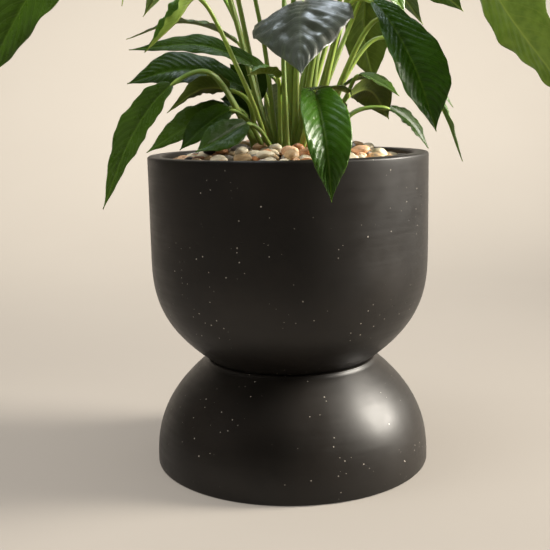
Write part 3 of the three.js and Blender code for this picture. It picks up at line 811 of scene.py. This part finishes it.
TANGENT_STEP = 4e-4  # how far before and after a place its direction is measured
BLADE_ROW = .0021  # about the length of one row of a blade's faces
FEWEST_ROWS, MOST_ROWS = 36, 110
BLADE_COLUMNS = 12  # columns from the midrib to the margin
ROOMY_HALF = .018  # half width at which the quilting reaches its full depth
VEIN_SWEEP = .26  # share of the blade's length that a side vein runs tipwards on its way out
CAMBER = .16  # four times the rise of each half, in half widths
GROOVE_DEPTH, GROOVE_WIDTH = .0009, .0016
RIB_WIDTH, RIB_NARROWING = .0026, .0018
RIB_TIP_DEPTH = .0003
HOLLOW_STARTS = (.46, .61)  # places of the hollows along the blade
HOLLOW_LEAN, HOLLOW_LENGTH = .10, .045
HOLLOW_PLACE, HOLLOW_WIDTH = .30, .17
STALK_ROWS, STALK_RING = 44, 14
STALK_END = 2.06  # the stalk ends just inside the blade, whose base is at 2
JOINT_PLACE, JOINT_LENGTH, JOINT_SWELL = .93, .035, .22
SHEATH_SHARE, SHEATH_WINGS = .45, .28
STALK_GROOVE = .26


def spine_point(points, position):
    """A point of the centripetal Catmull-Rom curve through the points; position counts the points."""
    last = len(points) - 1
    i = min(int(position), last - 1)
    w = position - i
    before = points[i - 1] if i > 0 else 2 * points[0] - points[1]
    here, there = points[i], points[i + 1]
    after = points[i + 2] if i + 2 <= last else 2 * points[last] - points[last - 1]
    gap0, gap1, gap2 = (
        max(np.linalg.norm(b - a), 1e-9) ** .5
        for a, b in ((before, here), (here, there), (there, after))
    )
    slope1 = (here - before) / gap0 - (there - before) / (gap0 + gap1) + (there - here) / gap1
    slope2 = (there - here) / gap1 - (after - here) / (gap1 + gap2) + (after - there) / gap2
    slope1, slope2 = slope1 * gap1, slope2 * gap1
    square = -3 * here + 3 * there - 2 * slope1 - slope2
    cube = 2 * here - 2 * there + slope1 + slope2
    return here + slope1 * w + square * w * w + cube * w * w * w


def spine_frames(points, positions, roll, twist):
    """Centre, side and normal of the leaf at each position; the normal is the upper face's."""
    flat = points[4] - points[2]
    flat = flat / math.hypot(flat[0], flat[1])
    level = np.array((-flat[1], flat[0], 0))
    centres, sides, normals = [], [], []
    for position in positions:
        low = max(position - TANGENT_STEP, 0)
        high = min(position + TANGENT_STEP, 4)
        tangent = spine_point(points, high) - spine_point(points, low)
        tangent = tangent / np.linalg.norm(tangent)
        if position == 0:
            tangent = np.array((0, 0, 1.0))
        side = level - tangent * level.dot(tangent)
        side = side / np.linalg.norm(side)
        turn = roll + twist * max(position / 2 - 1, 0)
        turned_side = side * math.cos(turn) + np.cross(tangent, side) * math.sin(turn)
        centres.append(spine_point(points, position))
        sides.append(turned_side)
        normals.append(np.cross(tangent, turned_side))
    return np.array(centres), np.array(sides), np.array(normals)


def half_width(share, width, widest):
    """Half the blade's width at a share of its length: round at the base, drawn out to a fine tip."""
    bias = math.log(.5) / math.log(widest)
    swell = np.sin(math.pi * share ** bias) ** (.55 + .75 * share)
    return np.maximum(width / 2 * swell, .0005)


def blade(points, width, widest, roll, twist, fold, look, seed):
    """The closed blade: quilted between its side veins, with a sunken midrib and a wavy margin."""
    length = sum(
        np.linalg.norm(spine_point(points, 2 + (k + 1) / 20) - spine_point(points, 2 + k / 20))
        for k in range(40)
    )
    rows = int(np.clip(length / BLADE_ROW, FEWEST_ROWS, MOST_ROWS))
    share = np.linspace(0, 1, rows + 1)
    share = share + .04 * np.sin(2 * math.pi * share) / (2 * math.pi)
    count = 2 * BLADE_COLUMNS + 1
    across = np.linspace(-1, 1, count)
    across = np.sign(across) * np.abs(across) ** .9
    centres, sides, normals = spine_frames(points, 2 + 2 * share, roll, twist)
    s, v = np.meshgrid(share, across, indexing="ij")
    size = np.abs(v)
    half = half_width(s, width, widest)

    draw = np.random.default_rng(seed)
    phase = draw.uniform(0, 1, 6)
    skew = .07 * draw.uniform(-1, 1)
    sweep = VEIN_SWEEP * size ** 1.25 * (1 - .35 * s)
    veins = look["veins"] * (s - sweep + skew * np.sign(v) * .3) + phase[0]
    room = np.clip(half / ROOMY_HALF, 0, 1)
    quilting = look["quilt"] * (np.abs(np.sin(math.pi * veins)) ** .8 - .45)
    quilting *= room * np.clip(size / .18, 0, 1) * np.clip((1.04 - size) / .3, 0, 1)
    wave = look["wave"] * room * size ** 3
    long_wave = np.sin(2 * math.pi * (3.1 * s + phase[1]) + v)
    short_wave = np.sin(2 * math.pi * (7.3 * s + phase[2]) - 2 * v)
    wave *= long_wave + .6 * short_wave
    camber = CAMBER * half * (size - size ** 2)
    rough = np.array([
        noise.noise(Vector((a * 5, b * 2.2, seed * 3.1)))
        + .5 * noise.noise(Vector((a * 11, b * 5, seed)))
        for a, b in zip(s.ravel(), v.ravel())
    ]).reshape(s.shape)
    crumple = look["crumple"] * rough * room
    for start in HOLLOW_STARTS:
        along = (s - start - HOLLOW_LEAN * size) / HOLLOW_LENGTH
        crumple -= look["hollow"] * np.exp(-along ** 2 - ((size - HOLLOW_PLACE) / HOLLOW_WIDTH) ** 2)
    groove = GROOVE_DEPTH * np.exp(-(size * half / GROOVE_WIDTH) ** 2) * room
    margin = 1 + .010 * np.sin(2 * math.pi * (4.3 * s + phase[3])) * size

    spread = np.cos(fold) * half * v * margin
    lift = np.sin(fold) * half * size + quilting + wave + camber + crumple
    rib_depth = STALK_END_RADIUS * (1 - s) + RIB_TIP_DEPTH * s
    rib = rib_depth * np.exp(-(size * half / (RIB_WIDTH - RIB_NARROWING * s)) ** 2)
    thick = LEAF_THICKNESS / 2 * np.where(size > .97, .5, 1)

    def surface(height):
        out = sides[:, None] * spread[..., None]
        return centres[:, None] + out + normals[:, None] * height[..., None]

    top = surface(lift - groove + thick).reshape(-1, 3)
    under = surface(lift - groove * .4 - thick - rib).reshape(-1, 3)
    vertices = np.concatenate([top, under])
    offset = (rows + 1) * count
    faces, index = [], []
    for r in range(rows):
        for c in range(count - 1):
            a, b = r * count + c, r * count + c + 1
            faces.append((a, b, b + count, a + count))
            faces.append((offset + a, offset + a + count, offset + b + count, offset + b))
            index += [0, 1]
        left, right = r * count, (r + 1) * count - 1
        faces.append((left, left + count, offset + left + count, offset + left))
        faces.append((right, offset + right, offset + right + count, right + count))
        index += [1, 1]
    for c in range(count - 1):
        end = rows * count + c
        faces.append((c, offset + c, offset + c + 1, c + 1))
        faces.append((end, end + 1, offset + end + 1, offset + end))
        index += [1, 1]
    fields = {"vein": veins, "middle": size * half / MM, "along": s, "edge": size, "around": 0 * s}
    values = {key: np.tile(field.ravel(), 2) for key, field in fields.items()}
    return vertices, faces, index, values


def stalk(points, roll):
    """The stalk: a winged sheath low down, grooved on top, with a swollen joint below the blade."""
    rows, ring = STALK_ROWS, STALK_RING
    position = np.linspace(0, STALK_END, rows + 1)
    centres, sides, normals = spine_frames(points, position, roll, 0)
    share = position / 2
    radius = STALK_RADIUS + (STALK_END_RADIUS - STALK_RADIUS) * share
    sheath = np.clip(1 - share / SHEATH_SHARE, 0, 1) ** .7
    joint = np.exp(-((share - JOINT_PLACE) / JOINT_LENGTH) ** 2)
    end = np.clip((STALK_END - position) / .06, .25, 1)
    vertices, around = [], []
    for r in range(rows + 1):
        for k in range(ring):
            angle = 2 * math.pi * k / ring
            reach = radius[r] * (1 + JOINT_SWELL * joint[r]) * end[r]
            wide = reach * (1 + SHEATH_WINGS * sheath[r]) * math.cos(angle)
            high = reach * (1 - .05 * sheath[r]) * math.sin(angle)
            groove = STALK_GROOVE * reach * max(0, math.sin(angle)) ** 6
            vertices.append(centres[r] + sides[r] * wide + normals[r] * (high - groove))
            around.append(angle)
    faces = []
    for r in range(rows):
        for k in range(ring):
            a, b = r * ring + k, r * ring + (k + 1) % ring
            faces.append((a, b, b + ring, a + ring))
    faces.append(tuple(range(ring))[::-1])
    faces.append(tuple(rows * ring + k for k in range(ring)))
    along = np.repeat(share - 1, ring)
    flat = np.zeros(len(vertices))
    values = {"vein": flat, "middle": flat + 9, "along": along, "edge": flat,
              "around": np.array(around)}
    return np.array(vertices), faces, [2] * len(faces), values


def build_leaf(row, greens, seed):
    """One leaf, blade and stalk in one piece, on the same curve as its CAD node."""
    name, root, bend, blade_base, middle, tip, width, widest, roll, twist, fold = row
    look = {**PLAIN_LEAF, **LEAF_LOOKS.get(name, {})}
    heading = math.radians(root[0])
    ring = root[1] * (CROWN_RADIUS - STALK_RADIUS - ROOT_MARGIN)
    start = np.array((ring * math.cos(heading), ring * math.sin(heading), CROWN_TOP + GAP))
    on_rim = [np.array((x, y, RIM + z)) for x, y, z in (bend, blade_base, middle, tip)]
    points = [start, *on_rim]
    roll, twist, fold = map(math.radians, (roll, twist, fold))
    parts = [blade(points, width, widest, roll, twist, fold, look, seed), stalk(points, roll)]
    vertices = np.concatenate([p[0] for p in parts])
    faces, index = [], []
    start_at = 0
    for part in parts:
        faces += [tuple(start_at + k for k in f) for f in part[1]]
        index += part[2]
        start_at += len(part[0])
    values = {key: np.concatenate([p[3][key] for p in parts]) for key in parts[0][3]}
    materials = greens[look["green"]]
    return make_piece(name + "_leaf", vertices, faces, materials, ["leaf_" + name], index, values)


# ---- Camera, stage and light ----
LENS = 61.33
SENSOR = 36
YAW, PITCH, TILT = -.764, 10.34, -1.12
CAMERA_PLACE = Vector((-.0029, -1.148, RIM + .0585))
STAGE_FRONT, SWEEP_START, STAGE_HALF_WIDTH, STAGE_TOP = -6, 1.2, 5, 4
SWEEP_RADIUS = 1.4
STAGE_DROP = .0002
ROOM_ON_MATT = .45  # what the room's light gains where it falls on matt surfaces
ROOM_IN_GLOSS = .02  # its strength to everything but the camera


def place_camera():
    """The photograph's view: a long lens a little above the rim, tipped down about ten degrees."""
    camera = bpy.data.objects.new("camera", bpy.data.cameras.new("camera"))
    camera.data.lens = LENS
    camera.data.sensor_width = SENSOR
    yaw, pitch, tilt = math.radians(YAW), math.radians(PITCH), math.radians(TILT)
    ahead = Vector((math.sin(yaw) * math.cos(pitch), math.cos(yaw) * math.cos(pitch), -math.sin(pitch)))
    right = ahead.cross(Vector((0, 0, 1))).normalized()
    up = right.cross(ahead)
    tilted_right = math.cos(tilt) * right + math.sin(tilt) * up
    tilted_up = math.cos(tilt) * up - math.sin(tilt) * right
    facing = Matrix((tilted_right, tilted_up, -ahead)).transposed().to_4x4()
    camera.matrix_world = Matrix.Translation(CAMERA_PLACE) @ facing
    bpy.context.scene.collection.objects.link(camera)
    bpy.context.scene.camera = camera


def build_stage():
    """A pale floor that sweeps up into a backdrop behind the plant."""
    n = Nodes("pale_stage")
    plaster, pale, glow = (.180, .164, .145), (.192, .176, .156), (.96, .86, .75)
    shade = n.mix(n.noise(3, 2, .5), plaster, pale)
    material = n.finish(Base_Color=shade, Roughness=.9, Specular_IOR_Level=.1,
                        Emission_Color=glow, Emission_Strength=.19)
    profile = [(STAGE_FRONT, 0), (0, 0), (SWEEP_START, 0)]
    profile += [(SWEEP_START + SWEEP_RADIUS * math.sin(a), SWEEP_RADIUS - SWEEP_RADIUS * math.cos(a))
                for a in np.linspace(.08, math.pi / 2, 16)]
    profile.append((SWEEP_START + SWEEP_RADIUS, STAGE_TOP))
    vertices = [(x, y, z - STAGE_DROP) for y, z in profile for x in (-STAGE_HALF_WIDTH, STAGE_HALF_WIDTH)]
    faces = [(2 * k, 2 * k + 1, 2 * k + 3, 2 * k + 2) for k in range(len(profile) - 1)]
    make_object("stage", vertices, faces, [material])


# Place, aim, size, power in watts, colour, and spread in degrees.
LIGHTS = {
    "key": ((2.15, .08, 1.32), (0, 0, .40), (.75, 1.2), 37, (1, .94, .84), 66),
    "sky": ((-.25, -.05, 2.0), (0, 0, .40), (1.4, 1.2), 10, (.97, .98, 1), 100),
    "fill": ((-2.1, -.7, 1.2), (0, 0, .35), (1.2, 1.2), 15, (1, .98, .94), 120),
    "sheen": ((.05, .45, 2.0), (0, -.12, .52), (1.0, .7), 23, (.80, .89, 1), 180),
    "backdrop_wash": ((0, .9, 2.5), (0, 2.25, .48), (3.6, .5), 92, (1, .96, .88), 94),
}


def softbox(name, place, aim, size, power, colour, spread):
    """A rectangular light that the camera doesn't see, turned to its aim."""
    light = bpy.data.lights.new(name, "AREA")
    light.shape = "RECTANGLE"
    light.size, light.size_y = size
    light.energy = power
    light.color = colour
    light.spread = math.radians(spread)
    lamp = bpy.data.objects.new(name, light)
    lamp.location = place
    lamp.rotation_euler = (Vector(aim) - Vector(place)).to_track_quat("-Z", "Y").to_euler()
    lamp.visible_camera = False
    bpy.context.scene.collection.objects.link(lamp)
    return lamp


def light_room():
    """A warm key from the right, a wash on the backdrop, weak light from above and left, a pale room."""
    lamps = {name: softbox(name, *values) for name, values in LIGHTS.items()}
    lamps["sky"].visible_glossy = False
    lamps["fill"].visible_glossy = False
    lamps["sheen"].visible_diffuse = False
    world = bpy.data.worlds.new("room")
    world.use_nodes = True
    tree = world.node_tree
    ground = tree.nodes["Background"]
    ground.inputs["Color"].default_value = (.78, .70, .60, 1)
    path = tree.nodes.new("ShaderNodeLightPath")
    strength = tree.nodes.new("ShaderNodeMath")
    strength.operation = "MULTIPLY_ADD"
    tree.links.new(path.outputs["Is Diffuse Ray"], strength.inputs[0])
    strength.inputs[1].default_value = ROOM_ON_MATT
    seen = tree.nodes.new("ShaderNodeMapRange")
    tree.links.new(path.outputs["Is Camera Ray"], seen.inputs["Value"])
    seen.inputs["To Min"].default_value = ROOM_IN_GLOSS
    tree.links.new(seen.outputs["Result"], strength.inputs[2])
    tree.links.new(strength.outputs[0], ground.inputs["Strength"])
    bpy.context.scene.world = world
    bpy.context.scene.view_settings.view_transform = "Standard"


# ---- Assembly ----
place_camera()
build_stage()
light_room()

clay = pot_material()
build_bowl(clay)
build_base(clay)

for node, material in (("drain_plug", rubber_material()), ("potting_soil", soil_material())):
    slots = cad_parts[node].data.materials
    slots.clear()
    slots.append(material)

stones = {name: stone_material(name, *pair) for name, pair in STONE_COLOURS.items()}
taken = build_loose_pebbles(stones)
build_bed(stones, grit_material(), taken)
build_crown(crown_material())

stalks = {
    "young": stalk_material("stalk_young", (.24, .31, .06), (.22, .32, .035)),
    "deep": stalk_material("stalk_deep", (.17, .23, .04), (.12, .20, .025)),
}
greens = {}
for name, (deep, mid, young, gloss, bloom, under, pale, stalk_kind) in GREENS.items():
    greens[name] = (leaf_top_material("leaf_top_" + name, deep, mid, young, gloss, bloom),
                    leaf_under_material("leaf_under_" + name, under, pale), stalks[stalk_kind])
for number, row in enumerate(LEAVES, 1):
    build_leaf(row, greens, number)
